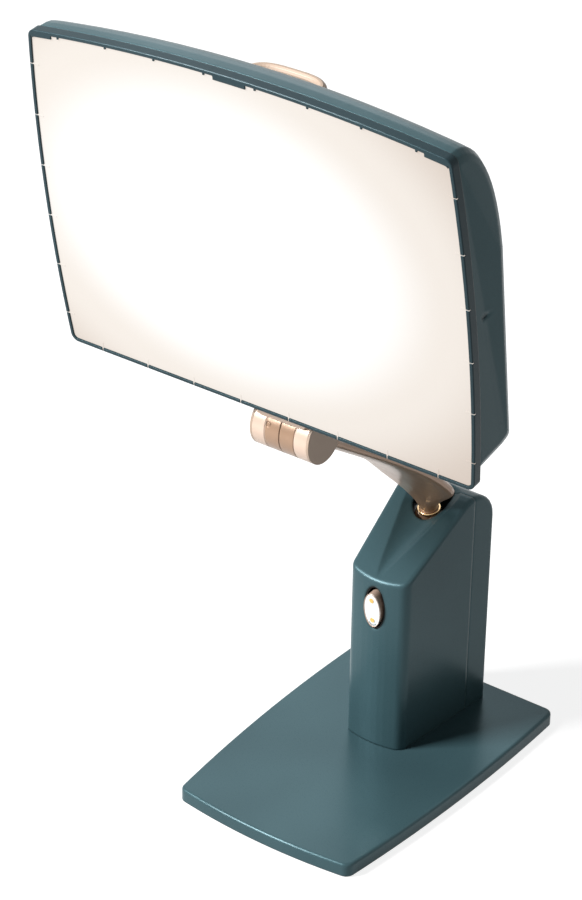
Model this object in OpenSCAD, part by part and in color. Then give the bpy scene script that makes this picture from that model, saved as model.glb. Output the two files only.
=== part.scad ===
// Light therapy lamp: a broad flat light box tilts on a barrel hinge at the top of a
// swing arm, which pivots in a slot in the top of a column on a weighted base.
// Millimetres, +Z up, the lit screen faces -Y.  Stand pieces are drawn with y measured
// back from the base's front corners, and head pieces in the light box's own tilted frame.

/* [Base] */
// Depth of the base between its front and back corners
base_l = 318; // [300:1:340]
// Width across the front corners
base_w_front = 192; // [180:1:204]
// Width across the back corners
base_w_back = 217; // [205:1:230]
// Outward bow of the front edge
base_bow_front = 7.4; // [3:0.1:12]
// Outward bow of each side
base_bow_side = 6.9; // [2:0.1:10]
// Radius of the plan corners
base_corner_r = 9; // [5:0.5:14]
// Height of the base's top above the table
base_h = 14.5; // [13.5:0.5:18]
// Rounding of the top edge
base_edge_r = 2.5; // [1:0.1:3.5]
// Wall of the base cover
base_wall = 2.4; // [2:0.1:3]
// Thickness of the bottom pan
pan_t = 1.4; // [1:0.1:2]
// Thickness of the steel weight
weight_t = 7.5; // [5:0.1:8]
// Height of the rubber feet
foot_h = 1.5; // [1:0.1:2.5]
// Radius of a rubber foot
foot_r = 9; // [6:0.5:12]

/* [Column] */
// Distance of the column's front corners behind the base's front corners
col_front = 171.7; // [165:0.1:176]
// Depth of the column between its front corners and its back
col_depth = 126; // [122:0.5:130]
// Width at the front corners
col_w_front = 64; // [60:0.5:70]
// Width at the back corners
col_w_back = 83.5; // [80:0.5:88]
// Forward bow of the front face
col_bow = 5.6; // [2:0.1:8]
// Radius of the upright corners
col_corner_r = 7; // [5:0.5:9]
// Rounding of the edges beside the sloping top
col_edge_r = 3.5; // [2:0.1:4]
// Rounding of the edge between the front face and the sloping top
front_edge_r = 3; // [1:0.1:4]
// Height of the sloping top above the table at the front corners
col_front_z = 197; // [190:0.5:204]
// Height of the crest above the table
col_top_z = 248.5; // [244:0.5:254]
// Radius that rounds the crest over to the back
col_crown_r = 30; // [26:0.5:34]
// Wall of the column's mouldings
col_wall = 2.5; // [2:0.1:3]
// Distance of the seam between shell and back cover in front of the back
col_seam = 30; // [26:0.5:34]
// Half width of the arm slot in the top
slot_hw = 17; // [16.5:0.5:20]
// Distance of the slot round front end centre behind the pivot
slot_lead = 1; // [1:0.5:5]
// Depth of the scoop round the slot's front end
scoop_depth = 8; // [6:0.5:12]

/* [Switch] */
// Height of the switch's centre above the table
switch_z = 164.5; // [150:0.5:168]
// Width of the oval switch opening
switch_w = 23; // [21.5:0.5:24]
// Height of the oval switch opening
switch_h = 46; // [43:0.5:48]
// Width of the rocker
rocker_w = 18; // [15:0.1:18.5]
// Height of the rocker
rocker_h = 37; // [30:0.5:38]
// How far the rocker's middle stands proud of the column
rocker_proud = 3.4; // [2:0.1:5]
// Tilt of the rocker between either position and its middle
rocker_tilt = 6; // [4:0.5:8]

/* [Swing arm] */
// Distance of the arm's pivot in front of the column's back
pivot_back = 45.7; // [44:0.1:47]
// Height of the arm's pivot above the table
pivot_z = 221; // [219:0.5:223]
// Distance from the pivot forward to the barrel hinge's axis
arm_reach = 212.2; // [200:0.1:222]
// Height of the barrel hinge's axis above the pivot
arm_rise = 188.9; // [180:0.1:198]
// Radius of the arm's round neck
neck_r = 8.4; // [8:0.1:9]
// Width of the arm where its flare is widest
arm_w = 90; // [84:0.5:94]
// Thickness of the arm at the barrel
arm_t = 14.4; // [12:0.2:18]
// Radius of the collar where the neck meets the hub
collar_r = 9.4; // [9.2:0.1:9.8]
// Radius of the polished ring round the collar
ring_r = 11.2; // [10.8:0.1:11.6]
// Height of the polished ring
ring_h = 2.5; // [2:0.5:4]
// Radius of the arm's hub on the pivot
hub_r = 10; // [9.8:0.1:10.6]
// Width of the arm's hub
hub_w = 22; // [20:0.5:24]
// Radius of the pivot bolt
pivot_bolt_r = 5; // [4:0.5:6]

/* [Barrel hinge] */
// Radius of the barrel
barrel_r = 23.4; // [21:0.1:25]
// Length of the barrel with its end caps
barrel_l = 61.6; // [58:0.2:66]
// Radius of the hinge pin
hinge_pin_r = 5; // [4:0.5:7]
// Thickness of a barrel end cap
cap_t = 2.2; // [1.5:0.1:3]
// Thickness of a friction disc
disc_t = 0.8; // [0.5:0.1:1.2]
// Width of the saddle between the light box and the barrel
saddle_w = 50; // [44:1:54]

/* [Light box] */
// Forward lean of the light box
head_lean = 9.2; // [0:0.1:15]
// Depth of the barrel's axis behind the screen's front plane
head_axis_depth = 37.9; // [35:0.1:40]
// Drop of the barrel's axis below the light box's bottom edge
head_axis_drop = 39.9; // [38:0.1:42]
// Width along the bottom edge
head_w_bottom = 420; // [400:1:440]
// Width between the top corners
head_w_top = 413.5; // [395:0.5:435]
// Height from the bottom edge to the top corners
head_h = 307.4; // [295:0.1:320]
// Upward bow of the top edge
head_bow_top = 13.5; // [8:0.5:18]
// Outward bow of each side
head_bow_side = 7.3; // [4:0.1:10]
// Radius of the corners
head_corner_r = 8; // [6:0.5:12]
// Depth of the light box at its sides
head_depth = 55; // [52:0.5:60]
// Rearward bow of the back
head_bow_back = 11; // [6:0.5:14]
// Depth of the front bezel
bezel_depth = 8.6; // [8:0.1:10]
// Face width of the bezel's rim
rim_w = 3.2; // [2.6:0.1:4.5]
// Distance between the small lugs and notches round the rim
lug_pitch = 50; // [48:0.5:51]
// Width of the bezel's middle retaining tab
tab_w = 31.5; // [26:0.5:36]
// Setback of the housing above the bezel's bottom edge
step_up = 15.4; // [13:0.1:18]
// Wall of the rear housing
head_wall = 2.4; // [2:0.1:3]
// Thickness of the diffuser
diffuser_t = 3; // [2:0.1:3.4]

/* [Lamps] */
// Number of lamps
lamp_count = 3; // [2:1:3]
// Length of a lamp with its cap
lamp_l = 320; // [300:1:330]
// Radius of a lamp's glass tube
tube_r = 8.75; // [8:0.05:9]
// Distance between the two limbs of a lamp
limb_pitch = 21; // [20:0.5:24]
// Distance between lamps
lamp_pitch = 84; // [80:1:88]
// Depth of the lamps' centres behind the front plane
lamp_depth = 24; // [23:0.5:25]

/* [Handle] */
// Distance between the handle's feet
handle_span = 76; // [70:1:90]
// Height of the handle's middle up the light box
handle_u = 281; // [276:1:284]
// Clear gap behind the handle for the fingers
handle_gap = 18; // [17:0.5:22]
// Thickness of the handle
handle_t = 8.5; // [7:0.5:10]

/* [Hidden] */

paint = [0.24, 0.33, 0.37];
bronze = [0.80, 0.68, 0.58];
dark_bronze = [0.52, 0.42, 0.36];
steel = [0.72, 0.73, 0.75];
black = [0.08, 0.08, 0.09];

base_front = 131.3;      // origin to the base's front corners, which centres the lamp's box
gap = 0.3;               // clearance between pieces that move past each other
fit = 0.05;              // radial clearance of a shaft in its bore
slice = 0.01;            // thickness of a slice that only guides a hull
through = 1;             // how far a cutter runs past the face it cuts

// --- derived places on the stand
col_back = col_front + col_depth;
seam_y = col_back - col_seam;
pivot_y = col_back - pivot_back;
barrel_y = pivot_y - arm_reach;
barrel_z = pivot_z + arm_rise;
crown_y = col_back - col_crown_r;
crown_z = col_top_z - col_crown_r;
crown_dist = norm([crown_y - col_front, crown_z - col_front_z]);
slope = atan2(crown_z - col_front_z, crown_y - col_front) + asin(col_crown_r / crown_dist);
weight_z = foot_h + pan_t;
ceiling_z = base_h - base_wall;
base_screw_at = [for (x = [-1, 1], y = [0.16, 0.5, 0.84]) [x * (base_w_front / 2 - 14), y * base_l]];
front_face_y = col_front - col_bow;
inlet_z = base_h + 30;
bracket_in = hub_w / 2 + disc_t + 0.2;  // inner face of a bracket ear
ear_t = 3;                              // steel of the arm bracket
ear_r = 9.5;                            // round top of an ear
foot_y = col_front + 34;                // front of the arm bracket's foot
foot_l = 72;
foot_hw = 27;
bolt_at = [for (x = [-1, 1], y = [-1, 1]) [x * 21, foot_y + foot_l / 2 + y * 27]];
web_y = pivot_y + 9;                    // front of the arm bracket's rear web
column_screw_zs = [base_h + 90, base_h + 150];

// --- derived places in the light box: [x, depth behind the front plane, height]
head_back = head_depth + head_bow_back;
knuckle_in = barrel_l / 4;                   // where arm knuckle ends and head knuckle starts
disc_gap = disc_t + 0.2;                     // room for a friction disc between knuckles
knuckle_out = barrel_l / 2 - cap_t;
diffuser_in = rim_w + 0.4;                   // inset of the diffuser's edge from the outline
diffuser_d = 1.2;                            // depth of the diffuser's face
ledge_d = diffuser_d + diffuser_t + 0.2;     // depth of the ledge that the diffuser rests on
shoulder_u = 205;                            // height where the back starts to curve over
reflector_d = lamp_depth + tube_r + 4;
under_rise = 3;                              // rise of the housing's underside towards the back
function under_u(d) = step_up + under_rise * (d - bezel_depth) / (head_back - 10 - bezel_depth);
lamp_mid_u = head_h / 2 + 8;

// Points of an edge from p to q that bows out by sag, q left out; outlines run anticlockwise
function bow(p, q, sag, n = 14) = let (c = q - p, out = [c[1], -c[0]] / norm(c))
    [for (i = [0:n - 1]) let (t = i / n) p + c * t + out * 4 * sag * t * (1 - t)];
function oval(w, h, n = 40) = [for (i = [0:n - 1]) [w / 2 * cos(i * 360 / n), h / 2 * sin(i * 360 / n)]];
function mix(a, b, t) = a + (b - a) * t;
function smooth(t) = let (c = min(1, max(0, t))) c * c * (3 - 2 * c);
// How much a round corner of radius r takes off at distance s from the side
function corner_cut(s, r) = s >= r ? 0 : r - sqrt(r * r - (r - s) * (r - s));
function power(v, e) = sign(v) * pow(abs(v), e);

module stand() translate([0, -base_front, 0]) children();
module at_pivot() stand() translate([0, pivot_y, pivot_z]) rotate([0, 90, 0]) children();
module at_barrel() stand() translate([0, barrel_y, barrel_z]) rotate([0, 90, 0]) children();
module in_head() stand() translate([0, barrel_y, barrel_z]) rotate([head_lean, 0, 0])
    translate([0, -head_axis_depth, head_axis_drop]) children();
// A prism along X from a profile whose points are [y, z]
module along_x(w) rotate([90, 0, 90]) translate([0, 0, -w / 2]) linear_extrude(w) children();
// A prism along depth from an outline whose points are [x, u]
module along_d(d0, d1) translate([0, d1, 0]) rotate([90, 0, 0]) linear_extrude(d1 - d0) children();
module rod(r, l) cylinder(r = r, h = l, center = true, $fn = 64);

// Solid through a list of rings with equally many points, each ring seen
// anticlockwise from the end that the list runs towards
module loft(rings) {
    n = len(rings[0]);
    m = len(rings);
    polyhedron(points = [for (r = rings) each r], faces = concat(
        [[for (i = [0:n - 1]) i]],
        [[for (i = [0:n - 1]) (m - 1) * n + n - 1 - i]],
        [for (j = [0:m - 2], i = [0:n - 1]) let (k = (i + 1) % n)
            [j * n + i, (j + 1) * n + i, (j + 1) * n + k]],
        [for (j = [0:m - 2], i = [0:n - 1]) let (k = (i + 1) % n)
            [j * n + i, (j + 1) * n + k, j * n + k]]));
}

// ---------------------------------------------------------------- base
base_outline = concat(
    bow([-base_w_front / 2, 0], [base_w_front / 2, 0], base_bow_front),
    bow([base_w_front / 2, 0], [base_w_back / 2, base_l], base_bow_side),
    bow([base_w_back / 2, base_l], [-base_w_back / 2, base_l], 0, 1),
    bow([-base_w_back / 2, base_l], [-base_w_front / 2, 0], base_bow_side));

module base_plan(inset = 0)
    offset(r = base_corner_r - inset, $fn = 36) offset(delta = -base_corner_r)
        polygon(base_outline);

module screw(r, l, head_r, head_t) {
    cylinder(r = r, h = l, $fn = 24);
    cylinder(r = head_r, h = head_t, $fn = 32);
}

module base_cover() color(paint) stand() difference() {
    hull() {
        translate([0, 0, foot_h]) linear_extrude(base_h - foot_h - base_edge_r) base_plan();
        for (a = [30:30:90]) translate([0, 0, base_h - base_edge_r * (1 - sin(a)) - slice])
            linear_extrude(slice) base_plan(base_edge_r * (1 - cos(a)));
    }
    difference() {
        translate([0, 0, foot_h - through]) linear_extrude(ceiling_z - foot_h + through)
            base_plan(base_wall);
        for (p = base_screw_at) translate([p[0], p[1], 0]) cylinder(r = 4.5, h = base_h, $fn = 40);
    }
    for (p = base_screw_at) translate([p[0], p[1], -through])
        cylinder(r = 1.6, h = ceiling_z, $fn = 24);
    translate([0, 0, foot_h - through]) linear_extrude(pan_t + through)
        for (p = base_screw_at) translate(p) circle(r = 5, $fn = 40);
    for (p = bolt_at) translate([p[0], p[1], 0]) cylinder(r = 2.7, h = 2 * base_h, $fn = 24);
}

module base_pan() color(black) stand() difference() {
    translate([0, 0, foot_h]) linear_extrude(pan_t) base_plan(base_wall + gap);
    for (p = base_screw_at) translate([p[0], p[1], 0]) cylinder(r = 1.8, h = base_h, $fn = 24);
}

module base_weight() color(steel) stand() difference() {
    translate([0, 0, weight_z]) linear_extrude(weight_t) base_plan(base_wall + 2);
    for (p = base_screw_at) translate([p[0], p[1], 0]) cylinder(r = 5, h = base_h, $fn = 40);
    for (p = bolt_at) translate([p[0], p[1], 0]) cylinder(r = 2.1, h = base_h, $fn = 24);
}

module rubber_feet() color(black) stand() {
    inset = foot_r + 9;
    for (x = [-1, 1]) {
        translate([x * (base_w_front / 2 - inset), inset, 0]) cylinder(r = foot_r, h = foot_h, $fn = 48);
        translate([x * (base_w_back / 2 - inset), base_l - inset, 0])
            cylinder(r = foot_r, h = foot_h, $fn = 48);
    }
}

module base_screws() color(steel) stand() for (p = base_screw_at)
    translate([p[0], p[1], foot_h - 1]) screw(1.6, 8, 3.2, 1);

// ---------------------------------------------------------------- column
// Half width of the column at distance y behind the base's front corners
function col_x(y) = mix(col_w_front, col_w_back, (y - col_front) / col_depth) / 2;

// Side profile of the column at the share k of its half width, drawn in by inset.
// The slope runs up from the front and is tangent to the crown's arc.
function col_ring(k, inset) = let (
    s = (1 - abs(k)) * (col_w_front / 2 - inset),
    corner = inset + corner_cut(s, max(1, col_corner_r - inset)),
    edge = inset + corner_cut(s, max(0.5, col_edge_r - inset / 2)),
    front = col_front - col_bow * (1 - k * k) + corner,
    r = col_crown_r - edge,
    top = crown_z + r * cos(slope) + (front - crown_y + r * sin(slope)) * tan(slope),
    low = base_h - (inset > 0 ? through : 0),
    profile = concat(
        [[front, low], [crown_y + r, low]],
        [for (i = [0:10]) let (a = i * (90 + slope) / 10) [crown_y + r * cos(a), crown_z + r * sin(a)]],
        [for (i = [0:4]) let (t = i / 4, l = front_edge_r)
            [front + l * cos(slope) * (1 - t) * (1 - t), top + l * sin(slope) * (1 - t) * (1 - t) - l * t * t]]))
    [for (p = profile) [k * (col_x(p[0]) - inset), p[0], p[1]]];

col_ks = [for (i = [0:6]) 1 - 0.006 * i * i, 0.62, 0.42, 0.2];
col_stations = concat(-col_ks, [0], [for (i = [len(col_ks) - 1:-1:0]) col_ks[i]]);
module col_block(inset) loft([for (k = col_stations) col_ring(k, inset)]);

// Tapering scoop that runs up the slope and is deepest at the slot
module scoop(grow = 0) {
    run = col_crown_r + col_depth;
    half_w = slot_hw + 5;
    r_slot = (half_w * half_w + scoop_depth * scoop_depth) / (2 * scoop_depth);
    reach = (pivot_y - slot_hw - col_front + col_bow) / cos(slope);   // up the slope to the slot
    r_start = 8;
    rise = (r_slot - scoop_depth - r_start) / reach;
    translate([0, col_front - col_bow, col_front_z - col_bow * tan(slope)]) rotate([slope, 0, 0])
        translate([0, 0, r_start]) rotate([atan(rise), 0, 0]) rotate([-90, 0, 0])
        cylinder(r1 = r_start + grow, r2 = r_start + (r_slot - r_start) * run / reach + grow,
            h = run, $fn = 96);
}

module arm_slot(grow = 0) {
    y0 = pivot_y + slot_lead;
    y1 = y0 + 8;
    for (y = [y0, y1]) translate([0, y, crown_z - 20]) cylinder(r = slot_hw + grow, h = 80, $fn = 64);
    translate([-slot_hw - grow, y0, crown_z - 20]) cube([2 * (slot_hw + grow), y1 - y0, 80]);
}

module column_skin() difference() {
    col_block(0);
    difference() {
        col_block(col_wall);
        scoop(col_wall);
    }
    scoop();
    arm_slot();
}

module column_shell() color(paint) stand() difference() {
    intersection() {
        column_skin();
        translate([-100, 0, 0]) cube([200, seam_y, col_top_z + 10]);
    }
    translate([0, 0, switch_z]) along_d(front_face_y - 10, front_face_y + 20)
        polygon(oval(switch_w, switch_h));
}

module column_back() color(paint) stand() difference() {
    union() {
        intersection() {
            column_skin();
            translate([-100, seam_y, 0]) cube([200, base_l, col_top_z + 10]);
        }
        for (z = column_screw_zs) translate([0, col_back - col_wall / 2, z]) rotate([90, 0, 0])
            cylinder(r = 5, h = col_back - col_wall / 2 - web_y - ear_t - 0.2, $fn = 40);
    }
    inlet_hole();
    for (z = column_screw_zs) translate([0, col_back + through, z]) rotate([90, 0, 0]) {
        cylinder(r = 1.9, h = col_depth, $fn = 24);
        cylinder(r = 3.8, h = 4 + through, $fn = 32);
    }
}

module column_screws() color(steel) stand() for (z = column_screw_zs)
    translate([0, col_back - 1.8, z]) rotate([90, 0, 0]) screw(1.7, col_back - 1.8 - web_y, 3.5, 2.2);

// Folded steel bracket: two ears that carry the pivot, a foot and two webs that join them
module arm_bracket() color(steel) stand() difference() {
    union() {
        for (s = [-1, 1]) translate([s * (bracket_in + ear_t / 2), 0, 0]) along_x(ear_t) hull() {
            translate([pivot_y, pivot_z]) circle(r = ear_r, $fn = 64);
            translate([foot_y, base_h]) square([foot_l, 20]);
        }
        translate([-foot_hw, foot_y, base_h]) cube([2 * foot_hw, foot_l, ear_t]);
        translate([-bracket_in - ear_t / 2, foot_y, base_h]) cube([2 * bracket_in + ear_t, ear_t, 20]);
        translate([-bracket_in - ear_t / 2, web_y, base_h])
            cube([2 * bracket_in + ear_t, ear_t, pivot_z - hub_r - 24 - base_h]);
    }
    for (p = bolt_at) translate([p[0], p[1], 0]) cylinder(r = 2.1, h = 2 * base_h, $fn = 24);
    translate([0, pivot_y, pivot_z]) rotate([0, 90, 0]) rod(pivot_bolt_r, 80);
    for (z = column_screw_zs) translate([0, web_y - 5, z]) rotate([-90, 0, 0])
        cylinder(r = 1.7, h = 20, $fn = 24);
}

module bracket_bolts() color(steel) stand() for (p = bolt_at) {
    translate([p[0], p[1], weight_z]) cylinder(r = 2, h = base_h + 3 - weight_z, $fn = 24);
    translate([p[0], p[1], base_h + 3]) cylinder(r = 4.2, h = 3, $fn = 6);
}

module pivot_bolt() color(steel) at_pivot() translate([0, 0, -bracket_in - ear_t]) {
    cylinder(r = pivot_bolt_r, h = 2 * (bracket_in + ear_t) + 8, $fn = 64);
    translate([0, 0, -5]) cylinder(r = 8.5, h = 5, $fn = 6);
}

// Two cupped spring washers set rim to rim under the nut
spring_t = 1.6;
module pivot_springs() color(steel) at_pivot() translate([0, 0, bracket_in + ear_t])
    rotate_extrude($fn = 64) for (flip = [0, 1]) translate([0, flip * spring_t]) polygon(flip == 0 ?
            [[pivot_bolt_r + 0.1, 0], [9, spring_t - 0.8], [9, spring_t], [pivot_bolt_r + 0.1, 0.8]] :
            [[pivot_bolt_r + 0.1, spring_t - 0.8], [9, 0], [9, 0.8], [pivot_bolt_r + 0.1, spring_t]]);

module pivot_nut() color(steel) at_pivot() translate([0, 0, bracket_in + ear_t + 2 * spring_t])
    difference() {
        cylinder(r = 8.5, h = 4, $fn = 6);
        rod(pivot_bolt_r, 20);
    }

module pivot_discs() color(black) at_pivot() for (s = [-1, 1])
    translate([0, 0, s * (bracket_in - disc_t / 2)]) difference() {
        rod(ear_r, disc_t);
        rod(pivot_bolt_r, 3);
    }

// ---------------------------------------------------------------- swing arm
// Centre line in the [y, z] plane: a cubic curve that leaves the hub upright
arm_path = [[pivot_y, pivot_z], [pivot_y - 5, pivot_z + 72],
    [barrel_y + 67, barrel_z - 49], [barrel_y, barrel_z]];
function arm_at(t) = let (s = 1 - t) arm_path[0] * s * s * s + arm_path[1] * 3 * s * s * t
    + arm_path[2] * 3 * s * t * t + arm_path[3] * t * t * t;
function arm_dir(t) = let (v = arm_at(t + 0.001) - arm_at(t - 0.001)) v / norm(v);
// The neck flares to the full width and then tapers to the barrel's length
function arm_half_w(t) = mix(mix(neck_r, arm_w / 2, smooth((t - 0.05) / 0.24)),
    barrel_l / 2 - gap, smooth((t - 0.32) / 0.6));
function arm_half_t(t) = mix(neck_r, arm_t / 2, smooth((t - 0.27) / 0.55));
function arm_ring(t, n = 28) = let (c = arm_at(t), v = arm_dir(t), w = arm_half_w(t), h = arm_half_t(t),
    e = mix(1, 0.85, smooth((t - 0.05) / 0.25)))
    [for (i = [0:n - 1]) let (a = i * 360 / n, x = w * power(cos(a), e), k = h * power(sin(a), e))
        [x, c[0] + v[1] * k, c[1] - v[0] * k]];

collar_h = hub_r + ring_h;             // top of the collar above the pivot's axis
module at_collar() translate([0, pivot_y, pivot_z]) rotate([collar_tilt, 0, 0]) children();
collar_tilt = 10;                      // lean of the collar towards the barrel
groove_w = 0.9;
plug_r = 2.4;

arm_stations = [for (i = [0:9]) 0.02 + 0.03 * i, for (i = [1:9]) 0.29 + 0.073 * i];
module swing_arm() color(dark_bronze) stand() difference() {
    union() {
        loft([for (t = arm_stations) arm_ring(t)]);
        at_collar() cylinder(r = collar_r, h = collar_h, $fn = 64);
        translate([0, pivot_y, pivot_z]) rotate([0, 90, 0]) rod(hub_r, hub_w);
        translate([0, barrel_y, barrel_z]) rotate([0, 90, 0])
            rod(barrel_r, 2 * knuckle_in - disc_gap);
    }
    for (s = [-1, 1]) translate([s * (knuckle_in - disc_gap / 2 + barrel_l / 2), barrel_y, barrel_z])
        rotate([0, 90, 0]) rod(barrel_r + 2 * gap, barrel_l);
    translate([0, barrel_y, barrel_z]) rotate([0, 90, 0]) rod(hinge_pin_r + fit, barrel_l);
    translate([0, pivot_y, pivot_z]) rotate([0, 90, 0]) rod(pivot_bolt_r + fit, 2 * hub_w);
    // flats beside the hub
    for (s = [-1, 1]) translate([s * (hub_w / 2 + 15), pivot_y, pivot_z]) rotate([0, 90, 0]) rod(hub_r + 1, 30);
    // parting groove round the middle of the knuckle, and a plugged hole beside it
    translate([0, barrel_y, barrel_z]) rotate([0, 90, 0]) difference() {
        rod(barrel_r + 1, groove_w);
        rod(barrel_r - 2.5, 2);
    }
    translate([-knuckle_in * 0.8, barrel_y, barrel_z]) rotate([69, 0, 0]) difference() {
        translate([0, 0, barrel_r - 0.5]) cylinder(r = plug_r, h = 3, $fn = 32);
        cylinder(r = plug_r - 0.5, h = barrel_r + 3, $fn = 32);
    }
}

// Bright ring on the collar, seen in the slot
module neck_ring() color([0.9, 0.78, 0.62]) stand() at_collar() translate([0, 0, collar_h - ring_h])
    rotate_extrude($fn = 64) polygon(concat([[collar_r, 0]],
        [for (a = [-90:22.5:90]) [ring_r - ring_h / 4 + ring_h / 4 * cos(a), ring_h / 2 + ring_h / 2 * sin(a)]],
        [[collar_r, ring_h]]));

// ---------------------------------------------------------------- switch
rocker_set = 7;                        // the rocker's pivot behind the column's front face
rocker_pin_r = 1.4;
rocker_y = front_face_y + rocker_set;
module at_switch() stand() translate([0, rocker_y, switch_z]) children();
module tilted_rocker() at_switch() rotate([rocker_tilt, 0, 0]) children();
rocker_top_d = -rocker_set - rocker_proud;   // rocker's face measured from its pivot
flange_d = col_wall - rocker_set;            // inside face of the column's wall, seen from the pivot

module switch_surround() color(dark_bronze) at_switch() difference() {
    union() {
        along_d(1 - rocker_set, 9) polygon(oval(switch_w - 0.4, switch_h - 0.4));
        along_d(flange_d + 1.3, flange_d + 3.2) polygon(oval(switch_w + 5, switch_h + 5));
    }
    along_d(-rocker_set, 10) polygon(oval(switch_w - 3, switch_h - 3));
    rotate([0, 90, 0]) rod(rocker_pin_r + fit, switch_w + 2);
}

module switch_body() color(black) at_switch() difference() {
    union() {
        along_d(9, 24) square([16, 30], center = true);
        along_d(9, 11) polygon(oval(switch_w + 4, switch_h + 4));
    }
    along_d(8, 21) square([13, 27], center = true);
}

module switch_rocker() color(dark_bronze) tilted_rocker() {
    along_d(rocker_top_d + 0.8, 3) polygon(oval(rocker_w, rocker_h));
    rotate([0, 90, 0]) rod(rocker_pin_r, switch_w - 1);
    along_x(8) polygon([[2, -4], [2, 4], [10, 1.5], [10, -1.5]]);
}

module switch_face() color([0.9, 0.9, 0.9]) tilted_rocker() difference() {
    hull() {
        along_d(rocker_top_d + 0.5, rocker_top_d + 0.8) polygon(oval(rocker_w, rocker_h));
        along_d(rocker_top_d, rocker_top_d + 0.8) polygon(oval(rocker_w - 1, rocker_h - 1));
    }
    for (s = [-1, 1]) translate([0, 0, s * rocker_h * 0.3]) along_d(-30, 30) circle(r = 2.4, $fn = 40);
}

module switch_indicators() color([0.95, 0.65, 0.2]) tilted_rocker()
    for (s = [-1, 1]) translate([0, 0, s * rocker_h * 0.3])
        along_d(rocker_top_d - 0.4, rocker_top_d + 0.8) circle(r = 2.3, $fn = 40);

// ---------------------------------------------------------------- power inlet
inlet_w = 26;                          // body of the inlet behind its flange
inlet_h = 14;
module inlet_hole() translate([0, 0, inlet_z]) along_d(col_back - 20, col_back + 10)
    square([inlet_w + 0.4, inlet_h + 0.4], center = true);

module stadium(w, h) hull() for (s = [-1, 1]) translate([s * (w - h) / 2, 0]) circle(d = h, $fn = 32);

module power_inlet() color(black) stand() translate([0, col_back, inlet_z]) difference() {
    union() {
        along_d(-16, 0) square([inlet_w, inlet_h], center = true);
        along_d(0, 1.6) square([inlet_w + 5, inlet_h + 4], center = true);
    }
    along_d(-13.5, 5) stadium(16.2, 9.6);
    for (s = [-1, 1]) translate([s * 4.3, 0, 0]) along_d(-20, 0) circle(r = 1.18, $fn = 24);
}

module inlet_pins() color(steel) stand() for (s = [-1, 1])
    translate([s * 4.3, col_back - 3, inlet_z]) rotate([90, 0, 0]) cylinder(r = 1.18, h = 17, $fn = 24);

// ---------------------------------------------------------------- barrel hinge
saddle_a = 44;                         // angle above the level where the saddle's front edge ends
saddle_u = (barrel_r + 1) * sin(saddle_a) - head_axis_drop;
neck_front = head_axis_depth - (barrel_r + 1) * cos(saddle_a);
neck_back = head_axis_depth + 10;
module head_bracket() color(bronze) in_head() difference() {
    union() {
        for (s = [-1, 1]) translate([s * (knuckle_in + disc_gap / 2 + knuckle_out) / 2,
            head_axis_depth, -head_axis_drop]) rotate([0, 90, 0])
            rod(barrel_r, knuckle_out - knuckle_in - disc_gap / 2);
        intersection() {
            along_x(saddle_w) polygon([[neck_front, saddle_u], [neck_front, under_u(neck_front)],
                [neck_back, under_u(neck_back)],
                [neck_back, 18 - head_axis_drop], [head_axis_depth, -head_axis_drop]]);
            along_d(0, head_depth) offset(r = 4, $fn = 32) offset(delta = -4)
                translate([-saddle_w / 2, saddle_u]) square([saddle_w, 2 * head_axis_drop]);
        }
    }
    translate([0, head_axis_depth, -head_axis_drop]) rotate([0, 90, 0]) {
        rod(barrel_r + gap, 2 * knuckle_in + disc_gap);
        rod(hinge_pin_r, barrel_l);
    }
    bracket_screw_holes(1.9);
}

module hinge_pin() color(steel) at_barrel() rod(hinge_pin_r, 2 * knuckle_out);

module hinge_caps() color(dark_bronze) at_barrel() for (s = [-1, 1])
    translate([0, 0, s * (knuckle_out + cap_t / 2)]) rod(barrel_r, cap_t);

module hinge_discs() color(black) at_barrel() for (s = [-1, 1])
    translate([0, 0, s * (knuckle_in + disc_gap / 2 - disc_t / 2)]) difference() {
        rod(barrel_r - 0.3, disc_t);
        rod(hinge_pin_r, 3);
    }

plate_u = under_u(40) + head_wall + 0.2;
bracket_screw_at = [for (x = [-18, 18]) [x, head_axis_depth - 9]];
plate_t = 2.5;
module bracket_screw_holes(r) for (p = bracket_screw_at) translate([p[0], p[1], step_up - 9])
    cylinder(r = r, h = 30, $fn = 32);

module bracket_plate() color(steel) in_head() difference() {
    translate([-40, 18, plate_u]) cube([80, 22, plate_t]);
    bracket_screw_holes(2);
}

module bracket_screws() color(steel) in_head() for (p = bracket_screw_at) translate([p[0], p[1], 0]) {
    translate([0, 0, step_up - 8]) cylinder(r = 1.9, h = plate_u + plate_t - step_up + 8, $fn = 32);
    translate([0, 0, plate_u + plate_t]) cylinder(r = 3.6, h = 2.4, $fn = 32);
}

// ---------------------------------------------------------------- light box
head_outline = concat(
    bow([-head_w_bottom / 2, 0], [head_w_bottom / 2, 0], 0, 1),
    bow([head_w_bottom / 2, 0], [head_w_top / 2, head_h], head_bow_side),
    bow([head_w_top / 2, head_h], [-head_w_top / 2, head_h], head_bow_top, 20),
    bow([-head_w_top / 2, head_h], [-head_w_bottom / 2, 0], head_bow_side));

module head_plan(inset = 0)
    offset(r = head_corner_r - inset, $fn = 32) offset(delta = -head_corner_r) polygon(head_outline);

// Screws from behind hold the housing to pads on the bezel
head_screw_at = [for (x = [-1, 1], share = [0.14, 0.5, 0.84])
    [x * (side_x(head_h * share) - rim_w - 6.5), head_h * share]];
module head_screw_holes(r, d0, d1) along_d(d0, d1) for (p = head_screw_at) translate(p) circle(r = r, $fn = 24);

// Lugs along the top of the rim that keep the diffuser in
lug_d = diffuser_d - 0.1;              // depth of the lugs' rear face
notch_w = 1.1;
lug_xs = [for (i = [-3.5:1:3.5]) i * lug_pitch];
module lugs() {
    for (x = lug_xs) lug(x, 1.6, rim_w + 1.8);
    lug(0, tab_w, rim_w + 3.5);
    for (s = [-1, 1]) lug(s * (head_w_top / 2 - 14), 21, rim_w + 3);
}
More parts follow.
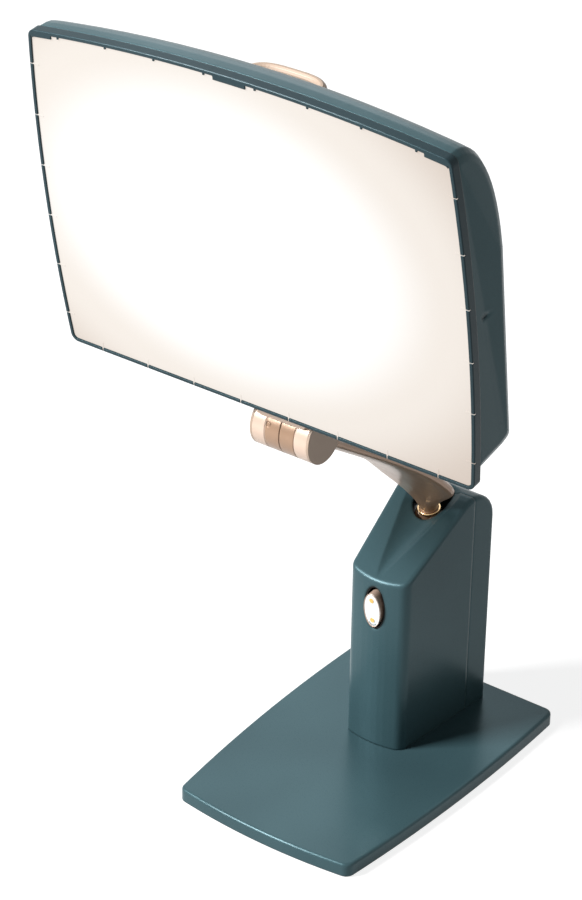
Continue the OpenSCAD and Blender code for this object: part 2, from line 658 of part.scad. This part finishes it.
// A lug at x whose end lies that far inside the outline
module lug(x, w, reach) intersection() {
    translate([x - w / 2, head_h / 2]) square([w, head_h]);
    difference() {
        head_plan();
        translate([0, rim_w - reach]) head_plan(rim_w);
    }
}

// Notches across the sides and the bottom of the rim
module notches(w, d0, d1, inset = -1) {
    for (s = [-1, 1], i = [0:5]) let (u = head_h * 0.094 + i * (lug_pitch - 0.7))
        translate([s * (side_x(u) - inset - rim_w - 1), 0, u]) along_d(d0, d1)
            square([2 * (rim_w + 1), w], center = true);
    for (x = lug_xs) translate([x, 0, inset + rim_w + 1]) along_d(d0, d1)
        square([w, 2 * (rim_w + 1)], center = true);
}

module front_bezel() color(paint) in_head() difference() {
    hull() {
        along_d(0.6, bezel_depth) head_plan();
        along_d(0, 1) head_plan(0.6);
    }
    along_d(-1, ledge_d) difference() {
        head_plan(rim_w);
        lugs();
    }
    along_d(lug_d, ledge_d) head_plan(rim_w);
    notches(notch_w, -1, diffuser_d + notch_w);
    along_d(-1, bezel_depth + 1) difference() {
        intersection() {
            head_plan(rim_w + 5);
            translate([-head_w_bottom, step_up + head_wall + 1.4]) square([2 * head_w_bottom, 2 * head_h]);
        }
        for (p = head_screw_at) translate(p) circle(r = 5.5, $fn = 32);
    }
    head_screw_holes(1.6, ledge_d - 1, bezel_depth + 1);
}

// Its small ears sit in the rim's notches
module diffuser() color([0.98, 0.96, 0.92]) in_head() {
    along_d(diffuser_d, diffuser_d + diffuser_t) head_plan(diffuser_in);
    notches(notch_w - 0.2, diffuser_d - 0.7, diffuser_d + 1, 0.4);
}

// Half width of the light box at height u
function side_x(u) = let (t = min(1, max(0, u / head_h)))
    mix(head_w_bottom, head_w_top, t) / 2 + 4 * head_bow_side * t * (1 - t);

// Ring of the housing at the share k of its half width, drawn in by inset
function housing_ring(k, inset, n = 14) = let (
    s = (1 - abs(k)) * (head_w_top / 2 - inset),
    cut = corner_cut(s, head_corner_r - inset / 2),
    back = head_depth + head_bow_back * (1 - k * k) - inset - cut,
    top = head_h + head_bow_top * (1 - k * k) - inset - cut,
    low = step_up + inset + cut,
    front = bezel_depth - (inset > 0 ? 2 : 0),
    profile = concat(
        [[front, low], [back - 10, low + under_rise]],
        [for (i = [0:3]) [back - 5 + 5 * sin(i * 30), low + under_rise + 6.5 - 5 * cos(i * 30)]],
        [for (i = [0:n]) let (a = i * 90 / n)
            [front + (back - front) * power(cos(a), 0.8), shoulder_u + (top - shoulder_u) * power(sin(a), 0.8)]]))
    [for (p = profile) [k * (side_x(p[1]) - inset), p[0], p[1]]];

// Shares of the half width where rings lie, closer together at the rounded sides
side_ks = [for (i = [0:4]) 1 - 0.0075 * i * i, for (i = [1:6]) 0.88 - 0.13 * i];
stations = concat(-side_ks, [0], [for (i = [len(side_ks) - 1:-1:0]) side_ks[i]]);
module housing_solid(inset) loft([for (k = stations) housing_ring(k, inset)]);

module vents(u0, rows, w) for (i = [0:rows - 1], x = [-1.5:1:1.5]) translate([x * (w + 8), 0, u0 + i * 7])
    along_d(head_depth - 12, head_back + 5) square([w, 3], center = true);

// Depth of the back's outer face at x, below the shoulder
function back_d(x) = head_depth + head_bow_back * (1 - pow(2 * x / head_w_top, 2));
post_at = [for (x = [-1, 1], u = [-1, 1]) [x * (lamp_l / 2 + 15), lamp_mid_u + u * lamp_pitch / 2]];
screw_floor_d = 24;                    // depth of the floor under a housing screw's head

module rear_housing() color(paint) in_head() difference() {
    union() {
        difference() {
            housing_solid(0);
            housing_solid(head_wall);
        }
        intersection() {
            union() {
                along_d(bezel_depth, head_back) for (p = head_screw_at) translate(p) circle(r = 5.5, $fn = 32);
                along_d(handle_seat_d, head_back) for (s = [-1, 1])
                    translate([s * handle_span / 2, handle_u]) circle(r = 4.5, $fn = 32);
            }
            housing_solid(head_wall / 2);
        }
        for (p = post_at) along_d(reflector_d + 1, back_d(p[0]) - head_wall / 2) translate(p) difference() {
            circle(r = 5, $fn = 32);
            circle(r = 1.5, $fn = 24);
        }
    }
    vents(60, 6, 34);
    vents(190, 6, 34);
    head_screw_holes(1.8, 0, head_back);
    head_screw_holes(4, screw_floor_d, head_back + 5);
    bracket_screw_holes(2);
    handle_screw_holes();
}

module housing_screws() color(steel) in_head() for (p = head_screw_at)
    translate([p[0], screw_floor_d + 2.2, p[1]]) rotate([90, 0, 0])
        screw(1.6, screw_floor_d + 2.2 - ledge_d, 3.2, 2.2);

// ---------------------------------------------------------------- handle
// Arch that stands on the back's shoulder, its feet cut to the shoulder's shape
handle_d = back_d(0) + handle_gap + handle_t / 2 - 8;      // depth of the grip's centre line
handle_foot_d = head_depth - 12;
function arch(t) = let (a = 180 * t) [-handle_span / 2 * power(cos(a), 0.6),
    handle_foot_d + (handle_d - handle_foot_d) * power(sin(a), 0.45)];
function arch_dir(t) = let (v = arch(min(1, t + 0.004)) - arch(max(0, t - 0.004))) v / norm(v);
function arch_ring(t, n = 14) = let (c = arch(t), v = arch_dir(t)) [for (j = [0:n - 1]) let (b = j * 360 / n,
    q = handle_t / 2 * cos(b)) [c[0] - v[1] * q, c[1] + v[0] * q, handle_t * 0.7 * sin(b)]];

handle_seat_d = handle_foot_d + 3;     // face inside the housing for the handle's screw heads
module handle_screw_holes() for (s = [-1, 1]) translate([s * handle_span / 2, handle_seat_d - 5, handle_u])
    rotate([-90, 0, 0]) cylinder(r = 1.8, h = 20, $fn = 24);

module grip_handle() color(dark_bronze) in_head() difference() {
    translate([0, 0, handle_u]) loft([for (i = [0:24]) arch_ring(i / 24)]);
    housing_solid(0);
    handle_screw_holes();
}

module handle_screws() color(steel) in_head() for (s = [-1, 1])
    translate([s * handle_span / 2, handle_seat_d - 2, handle_u]) rotate([-90, 0, 0]) screw(1.8, 14, 3.4, 2);

// ---------------------------------------------------------------- lamps
lamp_us = [for (i = [0:lamp_count - 1]) lamp_mid_u + (i - (lamp_count - 1) / 2) * lamp_pitch];
module each_lamp() in_head() for (u = lamp_us) translate([-lamp_l / 2, lamp_depth, u]) children();
cap_l = 32;
glass_t = 1;

// Folded white tray behind the lamps
reflector_fold = 36;                   // height of the fold at the top and bottom
module reflector() color([0.93, 0.94, 0.95]) in_head() difference() {
    intersection() {
        along_x(lamp_l + 60) polygon([[bezel_depth + 3, 30], [reflector_d, reflector_fold + 4],
            [reflector_d, head_h - reflector_fold + 8], [bezel_depth + 3, head_h - 20],
            [bezel_depth + 4, head_h - 19], [reflector_d + 1, head_h - reflector_fold + 9],
            [reflector_d + 1, reflector_fold + 3], [bezel_depth + 4, 29]]);
        along_d(0, head_back) head_plan(15);
    }
    for (p = post_at) translate([p[0], 0, p[1]]) along_d(0, head_back) circle(r = 1.5, $fn = 24);
}

module lamp_tubes() color([1, 1, 1]) each_lamp() {
    for (s = [-1, 1]) translate([cap_l, 0, s * limb_pitch / 2]) rotate([0, 90, 0]) difference() {
        cylinder(r = tube_r, h = lamp_l - cap_l, $fn = 48);
        translate([0, 0, -1]) cylinder(r = tube_r - glass_t, h = lamp_l - cap_l - 2, $fn = 48);
    }
    translate([lamp_l - 16, 0, 0]) cylinder(r = tube_r * 0.6, h = limb_pitch - 2 * tube_r + glass_t, center = true, $fn = 32);
}

module lamp_caps() color([0.9, 0.9, 0.88]) each_lamp()
    translate([0, -11.5, -21.5]) cube([cap_l, 23, 43]);

module lamp_holders() color([0.85, 0.85, 0.83]) each_lamp()
    translate([-14, -12, -20]) cube([14, reflector_d - lamp_depth + 12, 40]);

clip_t = 0.8;
module lamp_clips() color(steel) each_lamp() translate([lamp_l - 50, 0, 0]) {
    for (s = [-1, 1]) translate([0, 0, s * limb_pitch / 2]) rotate([0, 90, 0]) difference() {
        cylinder(r = tube_r + clip_t, h = 8, $fn = 48);
        translate([0, 0, -1]) cylinder(r = tube_r, h = 10, $fn = 48);
        translate([-15, -30, -1]) cube([30, 27, 10]);
    }
    translate([0, tube_r, -limb_pitch / 2 - 3]) cube([8, clip_t, limb_pitch + 6]);
    translate([0, tube_r, -3]) cube([8, reflector_d - lamp_depth - tube_r, 6]);
}

module reflector_screws() color(steel) in_head() for (p = post_at) translate([p[0], 0, p[1]]) {
    along_d(reflector_d - 1.8, reflector_d) circle(r = 3.5, $fn = 32);
    along_d(reflector_d - 1, reflector_d + 9) circle(r = 1.5, $fn = 24);
}

ballast_l = 210;
ballast_w = 42;
ballast_t = 18;
ballast_u = lamp_mid_u - 23;
module ballast() color([0.9, 0.9, 0.88]) in_head()
    translate([-ballast_l / 2, reflector_d + 1, ballast_u - ballast_w / 2])
        cube([ballast_l, ballast_t, ballast_w]);

module ballast_screws() color(steel) in_head() for (x = [-1, 1])
    translate([x * (ballast_l / 2 - 7), reflector_d + 1 + ballast_t, ballast_u]) rotate([-90, 0, 0]) cylinder(r = 3, h = 1.6, $fn = 24);

base_cover();
base_pan();
base_weight();
rubber_feet();
base_screws();
column_shell();
column_back();
column_screws();
arm_bracket();
bracket_bolts();
pivot_bolt();
pivot_nut();
pivot_springs();
pivot_discs();
swing_arm();
switch_surround();
switch_body();
switch_rocker();
switch_face();
switch_indicators();
power_inlet();
inlet_pins();
head_bracket();
hinge_pin();
hinge_caps();
hinge_discs();
bracket_plate();
bracket_screws();
front_bezel();
diffuser();
rear_housing();
housing_screws();
grip_handle();
handle_screws();
reflector();
lamp_tubes();
lamp_caps();
lamp_holders();
lamp_clips();
ballast();
ballast_screws();
reflector_screws();
neck_ring();
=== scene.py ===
import math

import bmesh
import bpy
from mathutils import Matrix, Vector


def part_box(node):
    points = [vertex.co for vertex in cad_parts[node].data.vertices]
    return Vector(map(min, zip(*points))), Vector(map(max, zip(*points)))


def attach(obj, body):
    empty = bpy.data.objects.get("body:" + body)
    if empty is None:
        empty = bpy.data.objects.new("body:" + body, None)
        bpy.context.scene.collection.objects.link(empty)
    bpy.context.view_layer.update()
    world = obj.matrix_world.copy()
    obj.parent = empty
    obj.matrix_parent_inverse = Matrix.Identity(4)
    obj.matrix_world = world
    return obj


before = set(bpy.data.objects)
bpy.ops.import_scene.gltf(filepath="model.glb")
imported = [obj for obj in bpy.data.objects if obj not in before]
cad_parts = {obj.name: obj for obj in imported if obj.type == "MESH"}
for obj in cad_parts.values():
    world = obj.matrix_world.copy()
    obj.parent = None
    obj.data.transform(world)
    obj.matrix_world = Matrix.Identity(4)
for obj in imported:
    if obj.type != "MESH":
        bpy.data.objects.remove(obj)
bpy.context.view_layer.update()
scene = bpy.context.scene
scene.view_settings.view_transform = "Standard"

# Surfaces, in metres and shares
GRAIN_DEPTH = 0.0002
SOFT_EDGE = 0.0006
NOISE_LOW = 0.3
NOISE_HIGH = 0.7

# The screen's glow: how far its white middle lies off centre, how wide it is, and how bright
GLOW_SHIFT_X = 0.12
GLOW_SHIFT_Z = -0.02
GLOW_WIDTH = 0.68
GLOW_STRENGTH = 0.95
GLOW_CREAM_AT = 0.3
GLOW_WHITE_AT = 0.58

# Cross recesses: shares of a screw head's radius, and metres
CROSS_LENGTH = 0.6
CROSS_WIDTH = 0.14
CROSS_HALF_DEPTH = 0.00014
CROSS_SINK = 0.0001
HEAD_FACE_DEPTH = 0.00005
FIRST_TURN = 0.6
NEXT_TURN = 1.3
HEAD_LEAN = math.radians(9.2)

# Wires on the switch's face, in metres
RIM_INSET = 0.0002
RIM_RADIUS = 0.00035
MARK_INSET = 0.0021
MARK_RADIUS = 0.00022
MARK_SWEEP = (math.radians(238), math.radians(302))
WIRE_STEPS = 64

# Camera: the point it looks at, its distance and its angles, from the photograph's perspective
CAMERA_AIM = (-0.0506, -0.0289, 0.3419)
CAMERA_DISTANCE = 2.65
CAMERA_AZIMUTH = math.radians(-53.48)
CAMERA_ELEVATION = math.radians(29.73)
CAMERA_ROLL = math.radians(0.94)
CAMERA_LENS = 120.25
SENSOR_WIDTH = 36
CAMERA_REACH = 50

# Stage
FLOOR_HALF = 2.6
FLOOR_COLOUR = (0.4, 0.4, 0.4, 1)
FLOOR_SEEN = (0.84, 0.84, 0.84, 1)
AMBIENT_COLOUR = (0.95, 0.98, 1, 1)
AMBIENT_STRENGTH = 0.05
WHITE = (1, 1, 1, 1)


def srgb(r, g, b):
    """Linear colour of an 8-bit one."""
    def linear(c):
        return c / 255 / 12.92 if c <= 10 else ((c / 255 + 0.055) / 1.055) ** 2.4
    return (linear(r), linear(g), linear(b), 1)


# ---------------------------------------------------------------- materials
def new_material(name):
    m = bpy.data.materials.new(name)
    m.use_nodes = True
    return m, m.node_tree.nodes, m.node_tree.links, m.node_tree.nodes["Principled BSDF"]


def noise(nodes, links, place, scale, detail, stretch=None):
    """A noise texture, stretched along an axis for a brushed grain."""
    n = nodes.new("ShaderNodeTexNoise")
    n.inputs["Scale"].default_value = scale
    n.inputs["Detail"].default_value = detail
    if stretch:
        mapping = nodes.new("ShaderNodeMapping")
        mapping.inputs["Scale"].default_value = stretch
        links.new(place, mapping.inputs["Vector"])
        place = mapping.outputs["Vector"]
    links.new(place, n.inputs["Vector"])
    return n.outputs["Fac"]


def spread(nodes, links, value, low, high):
    """A noise's middle range mapped to low..high."""
    r = nodes.new("ShaderNodeMapRange")
    r.inputs["From Min"].default_value = NOISE_LOW
    r.inputs["From Max"].default_value = NOISE_HIGH
    r.inputs["To Min"].default_value = low
    r.inputs["To Max"].default_value = high
    links.new(value, r.inputs["Value"])
    return r.outputs["Result"]


def blend_colours(nodes, links, factor, a, b):
    mix = nodes.new("ShaderNodeMix")
    mix.data_type = "RGBA"
    for socket in mix.inputs:
        if socket.type == "RGBA":
            socket.default_value = a if socket.name == "A" else b
    links.new(factor, mix.inputs["Factor"])
    return next(s for s in mix.outputs if s.type == "RGBA")


def grain_bump(nodes, links, height, strength, depth=GRAIN_DEPTH):
    b = nodes.new("ShaderNodeBump")
    b.inputs["Strength"].default_value = strength
    b.inputs["Distance"].default_value = depth
    links.new(height, b.inputs["Height"])
    return b


def finish(name, dark, light, metallic=0.0, rough=(0.3, 0.4), patch=14, grain=900, bump=0.08,
           edge=SOFT_EDGE, coat=0.0, coat_rough=0.1, specular=0.5, stretch=None):
    """A surface that drifts from dark to light, with uneven gloss, a fine grain and softened edges."""
    m, n, l, p = new_material(name)
    place = n.new("ShaderNodeTexCoord").outputs["Object"]
    broad = noise(n, l, place, patch, 2.0)
    l.new(blend_colours(n, l, spread(n, l, broad, 0, 1), dark, light), p.inputs["Base Color"])
    fine = noise(n, l, place, grain, 4.0, stretch)
    l.new(spread(n, l, fine, *rough), p.inputs["Roughness"])
    b = grain_bump(n, l, fine, bump)
    if edge:
        bevel = n.new("ShaderNodeBevel")
        bevel.samples = 6
        bevel.inputs["Radius"].default_value = edge
        l.new(bevel.outputs["Normal"], b.inputs["Normal"])
    l.new(b.outputs["Normal"], p.inputs["Normal"])
    p.inputs["Metallic"].default_value = metallic
    p.inputs["Specular IOR Level"].default_value = specular
    p.inputs["Coat Weight"].default_value = coat
    p.inputs["Coat Roughness"].default_value = coat_rough
    return m


def paint_finish(name, edge, dark=srgb(58, 83, 89), light=srgb(66, 93, 99)):
    """Satin teal paint with a fine pearl, softened over the edge radius."""
    return finish(name, dark, light, metallic=0.22, rough=(0.26, 0.34), patch=7, grain=1900, bump=0.10,
                  edge=edge, coat=0.03, coat_rough=0.14, specular=0.12)


def screen_glow(nodes, links, place):
    """The colour of the lit screen: white in the middle and creamier towards the rim."""
    low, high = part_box("diffuser")
    centre = (low + high) / 2
    half = (high - low) / 2
    mapping = nodes.new("ShaderNodeMapping")
    mapping.inputs["Location"].default_value = (
        GLOW_WIDTH * GLOW_SHIFT_X, 0, GLOW_WIDTH * (GLOW_SHIFT_Z - centre.z / half.z))
    mapping.inputs["Scale"].default_value = (GLOW_WIDTH / half.x, 0, GLOW_WIDTH / half.z)
    links.new(place, mapping.inputs["Vector"])
    glow = nodes.new("ShaderNodeTexGradient")
    glow.gradient_type = "SPHERICAL"
    links.new(mapping.outputs["Vector"], glow.inputs["Vector"])
    ramp = nodes.new("ShaderNodeValToRGB")
    ramp.color_ramp.interpolation = "EASE"
    edge, middle = ramp.color_ramp.elements
    edge.color = srgb(200, 185, 173)
    middle.color = WHITE
    middle.position = GLOW_WHITE_AT
    ramp.color_ramp.elements.new(GLOW_CREAM_AT).color = srgb(229, 221, 213)
    links.new(glow.outputs["Fac"], ramp.inputs["Fac"])
    return ramp.outputs["Color"]


def screen_material():
    """Lit opal sheet with a faint grain."""
    m, n, l, p = new_material("lit_opal_sheet")
    place = n.new("ShaderNodeTexCoord").outputs["Object"]
    l.new(screen_glow(n, l, place), p.inputs["Emission Color"])
    p.inputs["Emission Strength"].default_value = GLOW_STRENGTH
    grain = noise(n, l, place, 1400, 3.0)
    sheet = blend_colours(n, l, spread(n, l, grain, 0, 1), srgb(88, 86, 83), srgb(96, 94, 91))
    l.new(sheet, p.inputs["Base Color"])
    l.new(spread(n, l, grain, 0.5, 0.62), p.inputs["Roughness"])
    b = grain_bump(n, l, grain, 0.04, GRAIN_DEPTH / 2)
    l.new(b.outputs["Normal"], p.inputs["Normal"])
    p.inputs["Specular IOR Level"].default_value = 0.2
    return m


def lens_material(name, dark, light, glow):
    """A clear coloured lens with a weak glow of its own."""
    m = finish(name, dark, light, rough=(0.1, 0.18), patch=300, grain=2500, bump=0.02, coat=0.5, edge=0)
    p = m.node_tree.nodes["Principled BSDF"]
    p.inputs["Emission Color"].default_value = light
    p.inputs["Emission Strength"].default_value = glow
    return m


housing_paint = paint_finish("teal_paint_housings", 0.0035)
base_paint = paint_finish("teal_paint_base", 0.0018)
# The bezel's teal is the housings' paint darkened: painted shade for the bezel's dark band.
rim_paint_painted_shade = paint_finish("teal_paint_rim_painted_shade", 0.0011, srgb(34, 52, 58), srgb(42, 62, 68))
pale_bronze = finish("champagne_bronze", srgb(204, 180, 162), srgb(217, 193, 175), metallic=0.3,
                     rough=(0.30, 0.40), patch=18, grain=320, bump=0.04, stretch=(30, 1, 1), edge=0.0009)
# The swing arm's bronze is the bracket's bronze darkened: painted shade for the arm under the light box.
arm_bronze_painted_shade = finish("dark_bronze", srgb(150, 120, 96), srgb(164, 132, 107), metallic=0.3,
                    rough=(0.30, 0.40), patch=10, grain=1400, bump=0.05, coat=0.15, coat_rough=0.2,
                    edge=0.0012)
# The caps' and handle's bronze is the bracket's bronze darkened: painted shade for their shaded faces.
cap_bronze_painted_shade = finish("bronze_caps_painted_shade", srgb(170, 148, 130), srgb(182, 160, 141), metallic=0.1,
                    rough=(0.42, 0.5), patch=16, grain=1600, bump=0.06)
ring_gold = finish("polished_ring", srgb(236, 200, 150), srgb(248, 218, 172), metallic=1.0,
                   rough=(0.12, 0.2), patch=20, grain=900, bump=0.02)
rocker_bronze = finish("rocker_bronze", srgb(196, 168, 150), srgb(210, 182, 164), metallic=0.4,
                       rough=(0.22, 0.3), patch=30, grain=1800, bump=0.04)
# Black plastic for the switch body; on the switch's surround and the screw heads' cross inlays the black
# is painted shade for the shadowed gap and recesses.
black_and_painted_shade = finish("black_and_painted_shade", srgb(10, 11, 12), srgb(18, 19, 20), rough=(0.3, 0.4),
                        grain=1800, bump=0.05, specular=0.2)
face_chrome = finish("face_chrome", srgb(246, 247, 246), srgb(252, 252, 251), metallic=0.25,
                     rough=(0.14, 0.22), patch=40, grain=1200, bump=0.02, coat=0.4, coat_rough=0.05)
bright_steel = finish("bright_steel", srgb(150, 152, 156), srgb(172, 174, 178), metallic=1.0,
                      rough=(0.24, 0.34), patch=40, grain=1500, bump=0.06)
plated_steel = finish("plated_steel", srgb(132, 134, 136), srgb(158, 160, 162), metallic=1.0,
                      rough=(0.34, 0.46), patch=12, grain=700, bump=0.06)
black_plastic = finish("black_plastic", srgb(20, 21, 22), srgb(30, 31, 32), rough=(0.42, 0.55),
                       patch=30, grain=1700, bump=0.15)
rubber = finish("foot_rubber", srgb(24, 24, 24), srgb(34, 33, 32), rough=(0.75, 0.9), patch=30,
                grain=1100, bump=0.3, specular=0.25)
white_sheet = finish("white_sheet", srgb(226, 228, 230), srgb(238, 239, 240), rough=(0.35, 0.45),
                     grain=900, bump=0.03)
white_plastic = finish("white_plastic", srgb(222, 221, 214), srgb(232, 231, 225), rough=(0.4, 0.5),
                       grain=1300, bump=0.06)
lamp_glass = finish("lamp_glass", srgb(236, 238, 240), srgb(248, 249, 250), rough=(0.12, 0.2),
                    grain=600, bump=0.01, coat=0.4)
screen = screen_material()
amber_lens = lens_material("amber_lens", srgb(224, 168, 62), srgb(240, 196, 104), 0.1)

DRESS = {
    housing_paint: ["column_shell", "column_back", "rear_housing"],
    base_paint: ["base_cover"],
    rim_paint_painted_shade: ["front_bezel"],
    pale_bronze: ["head_bracket", "hinge_discs"],
    arm_bronze_painted_shade: ["swing_arm"],
    cap_bronze_painted_shade: ["hinge_caps", "grip_handle"],
    ring_gold: ["neck_ring"],
    rocker_bronze: ["switch_rocker"],
    black_and_painted_shade: ["switch_surround", "switch_body"],
    face_chrome: ["switch_face"],
    amber_lens: ["switch_indicators"],
    bright_steel: ["base_screws", "column_screws", "bracket_bolts", "pivot_bolt", "pivot_nut",
                   "pivot_springs", "inlet_pins", "hinge_pin", "bracket_screws", "housing_screws",
                   "handle_screws", "ballast_screws", "lamp_clips", "reflector_screws"],
    plated_steel: ["base_weight", "arm_bracket", "bracket_plate"],
    black_plastic: ["base_pan", "power_inlet", "pivot_discs"],
    rubber: ["rubber_feet"],
    white_sheet: ["reflector", "ballast"],
    white_plastic: ["lamp_caps", "lamp_holders"],
    lamp_glass: ["lamp_tubes"],
    screen: ["diffuser"],
}
for look, names in DRESS.items():
    for name in names:
        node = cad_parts[name]
        if not node.material_slots:
            node.data.materials.append(look)
        for s in node.material_slots:
            s.material = look


# ---------------------------------------------------------------- small detail
def new_piece(name, data, look, body):
    """A scene piece from a mesh or curve, riding on a body."""
    piece = bpy.data.objects.new(name, data)
    scene.collection.objects.link(piece)
    data.materials.append(look)
    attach(piece, body)


def bar(bm, centre, along, across, out, half):
    """A small box with its three half sizes along the given directions."""
    corners = [bm.verts.new(centre + along * half[0] * a + across * half[1] * b + out * half[2] * c)
               for c in (-1, 1) for a, b in ((-1, -1), (1, -1), (1, 1), (-1, 1))]
    for face in ((3, 2, 1, 0), (4, 5, 6, 7), (0, 1, 5, 4), (1, 2, 6, 5), (2, 3, 7, 6), (3, 0, 4, 7)):
        bm.faces.new([corners[i] for i in face])


def loose_parts(node):
    """The vertex positions of each separate solid of a node."""
    bm = bmesh.new()
    bm.from_mesh(node.data)
    bm.transform(node.matrix_world)
    bm.verts.index_update()
    found = set()
    parts = []
    for start in bm.verts:
        if start.index in found:
            continue
        found.add(start.index)
        queue = [start]
        part = []
        while queue:
            v = queue.pop()
            part.append(v.co.copy())
            for e in v.link_edges:
                other = e.other_vert(v)
                if other.index not in found:
                    found.add(other.index)
                    queue.append(other)
        parts.append(part)
    bm.free()
    return parts


def cross_recesses(name, out, body):
    """A dark cross on the head of each screw of a node, heads facing out: painted shade for each cross
    recess.
    """
    out = Vector(out).normalized()
    side = out.orthogonal().normalized()
    bm = bmesh.new()
    for k, part in enumerate(loose_parts(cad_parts[name])):
        top = max(v.dot(out) for v in part)
        head = [v for v in part if v.dot(out) > top - HEAD_FACE_DEPTH]
        centre = sum(head, Vector()) / len(head)
        reach = max((v - centre).length for v in head)
        half = (reach * CROSS_LENGTH, reach * CROSS_WIDTH, CROSS_HALF_DEPTH)
        along = Matrix.Rotation(FIRST_TURN + NEXT_TURN * k, 3, out) @ side
        for direction in (along, out.cross(along)):
            bar(bm, centre - out * CROSS_SINK, direction, out.cross(direction), out, half)
    mesh = bpy.data.meshes.new(name + "_recesses")
    bm.to_mesh(mesh)
    bm.free()
    new_piece(name + "_recesses", mesh, black_and_painted_shade, body)


def oval_face(node):
    """The middle, half width, half height and upward direction of a flat oval face that leans back."""
    points = [node.matrix_world @ v.co for v in node.data.vertices]
    low = min(points, key=lambda v: v.z)
    high = max(points, key=lambda v: v.z)
    up = (high - low).normalized()
    out = Vector((1, 0, 0)).cross(up).normalized()
    front = max(v.dot(out) for v in points)
    centre = sum(points, Vector()) / len(points)
    centre += out * (front - centre.dot(out))
    half_w = max(abs(v.x - centre.x) for v in points)
    half_h = max(abs((v - centre).dot(up)) for v in points)
    return centre, half_w, half_h, up


def face_wire(name, inset, radius, look, sweep=None):
    """A thin wire inside the edge of the switch's face, all round or over a sweep of angles."""
    centre, half_w, half_h, up = oval_face(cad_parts["switch_face"])
    curve = bpy.data.curves.new(name, "CURVE")
    curve.dimensions = "3D"
    curve.bevel_depth = radius
    curve.bevel_resolution = 3
    line = curve.splines.new("POLY")
    line.points.add(WIRE_STEPS - 1)
    line.use_cyclic_u = sweep is None
    start, end = sweep or (0, 2 * math.pi)
    gaps = WIRE_STEPS - 1 if sweep else WIRE_STEPS
    for i in range(WIRE_STEPS):
        a = start + (end - start) * i / gaps
        across = Vector((1, 0, 0)) * (half_w - inset) * math.cos(a)
        line.points[i].co = (*(centre + across + up * (half_h - inset) * math.sin(a)), 1)
    new_piece(name, curve, look, "rocker")


cross_recesses("base_screws", (0, 0, -1), "stand")
cross_recesses("column_screws", (0, 1, 0), "stand")
cross_recesses("housing_screws", (0, math.cos(HEAD_LEAN), math.sin(HEAD_LEAN)), "head")
face_wire("face_rim", RIM_INSET, RIM_RADIUS, rocker_bronze)
face_wire("lens_shade", MARK_INSET, MARK_RADIUS, black_and_painted_shade, MARK_SWEEP)


# ---------------------------------------------------------------- camera
def add_camera():
    camera = bpy.data.objects.new("camera", bpy.data.cameras.new("camera"))
    scene.collection.objects.link(camera)
    turn = Matrix.Rotation(CAMERA_AZIMUTH + math.pi / 2, 4, "Z")
    tilt = Matrix.Rotation(math.pi / 2 - CAMERA_ELEVATION, 4, "X")
    roll = Matrix.Rotation(CAMERA_ROLL, 4, "Z")
    away = Matrix.Translation((0, 0, CAMERA_DISTANCE))
    camera.matrix_world = Matrix.Translation(CAMERA_AIM) @ turn @ tilt @ away @ roll
    camera.data.sensor_width = SENSOR_WIDTH
    camera.data.lens = CAMERA_LENS
    camera.data.clip_end = CAMERA_REACH
    scene.camera = camera


# ---------------------------------------------------------------- floor, world and lights
def background_rays(nodes, links):
    """1 for the rays that see the white background: camera, glossy and transmission rays."""
    path = nodes.new("ShaderNodeLightPath")
    value = path.outputs["Is Camera Ray"]
    for kind in ("Is Glossy Ray", "Is Transmission Ray"):
        larger = nodes.new("ShaderNodeMath")
        larger.operation = "MAXIMUM"
        links.new(value, larger.inputs[0])
        links.new(path.outputs[kind], larger.inputs[1])
        value = larger.outputs[0]
    return value


def add_floor():
    """A pale floor that keeps the object's shadow."""
    mesh = bpy.data.meshes.new("floor")
    bm = bmesh.new()
    bmesh.ops.create_grid(bm, x_segments=1, y_segments=1, size=FLOOR_HALF)
    bm.to_mesh(mesh)
    bm.free()
    floor = bpy.data.objects.new("floor", mesh)
    scene.collection.objects.link(floor)
    m, n, l, p = new_material("pale_floor")
    p.inputs["Base Color"].default_value = FLOOR_COLOUR
    p.inputs["Roughness"].default_value = 0.9
    p.inputs["Specular IOR Level"].default_value = 0.0
    p.inputs["Emission Color"].default_value = FLOOR_SEEN
    l.new(background_rays(n, l), p.inputs["Emission Strength"])
    mesh.materials.append(m)


def background(nodes, colour, strength):
    shader = nodes.new("ShaderNodeBackground")
    shader.inputs["Color"].default_value = colour
    shader.inputs["Strength"].default_value = strength
    return shader.outputs[0]


def add_world():
    """A white background over a weak, even ambient light."""
    world = bpy.data.worlds.new("world")
    scene.world = world
    world.use_nodes = True
    n, l = world.node_tree.nodes, world.node_tree.links
    n.clear()
    pick = n.new("ShaderNodeMixShader")
    l.new(background_rays(n, l), pick.inputs["Fac"])
    l.new(background(n, AMBIENT_COLOUR, AMBIENT_STRENGTH), pick.inputs[1])
    l.new(background(n, WHITE, 1), pick.inputs[2])
    l.new(pick.outputs[0], n.new("ShaderNodeOutputWorld").inputs["Surface"])


def soft_light(name, place, aim_height, size, power, colour=(1, 1, 1)):
    """A square area light aimed at a height on the object's middle line."""
    light = bpy.data.lights.new(name, "AREA")
    light.shape = "SQUARE"
    light.size = size
    light.energy = power
    light.color = colour
    lamp = bpy.data.objects.new(name, light)
    scene.collection.objects.link(lamp)
    lamp.location = place
    towards = Vector((0, 0, aim_height)) - Vector(place)
    lamp.rotation_euler = towards.to_track_quat("-Z", "Y").to_euler()


add_camera()
add_floor()
add_world()
soft_light("key", (-1.5, -1.9, 2.15), 0.2, 0.9, 175)
soft_light("top_left", (-1.3, 1.7, 1.7), 0.3, 1.0, 4, (0.9, 0.96, 1))
soft_light("fill", (2.4, -0.6, 1.2), 0.3, 1.2, 3, (1, 0.9, 0.78))
